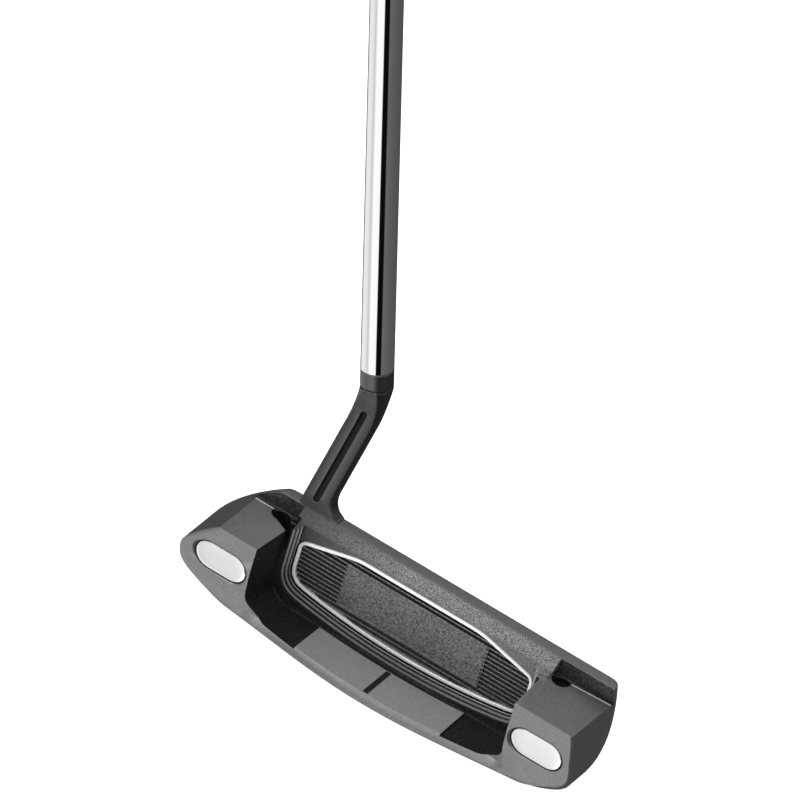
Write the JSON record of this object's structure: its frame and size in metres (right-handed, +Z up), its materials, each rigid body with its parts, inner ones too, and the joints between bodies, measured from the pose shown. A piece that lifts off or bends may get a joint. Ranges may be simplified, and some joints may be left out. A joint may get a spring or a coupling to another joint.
{
  "type": "mallet putter",
  "caption": "Right-handed mallet putter: black milled head with end weights, a bright-rimmed badge, slant neck, chrome shaft and pistol grip.",
  "frame": {"origin": "on the ground plane, on the flat of the sole, midway between heel and toe", "axes": "+X towards the toe, +Y towards the target (out of the striking face), +Z up, with the sole flat on the ground"},
  "size_m": [0.3082, 0.0492, 0.839],
  "materials": {
    "black_steel": "black-plated steel, bead-blasted satin",
    "dark_badge": "dark satin with fine ribs",
    "bright_steel": "polished",
    "chrome": "mirror chrome plating",
    "grip_rubber": "matte, fine texture",
    "masking_tape": "matte paper tape",
    "black_paint": "gloss paint fill"
  },
  "bodies": {
    "root": {"head_body": "black_steel", "neck": "black_steel", "ferrule": "black_steel", "heel_weight": "bright_steel", "toe_weight": "bright_steel", "badge_plate": "dark_badge", "badge_panel": "dark_badge", "badge_rim": "bright_steel", "sight_line_inlay": "black_paint", "shaft": "chrome", "grip_tape": "masking_tape", "grip_sleeve": "grip_rubber", "grip_cap": "grip_rubber"}
  },
  "joints": []
}
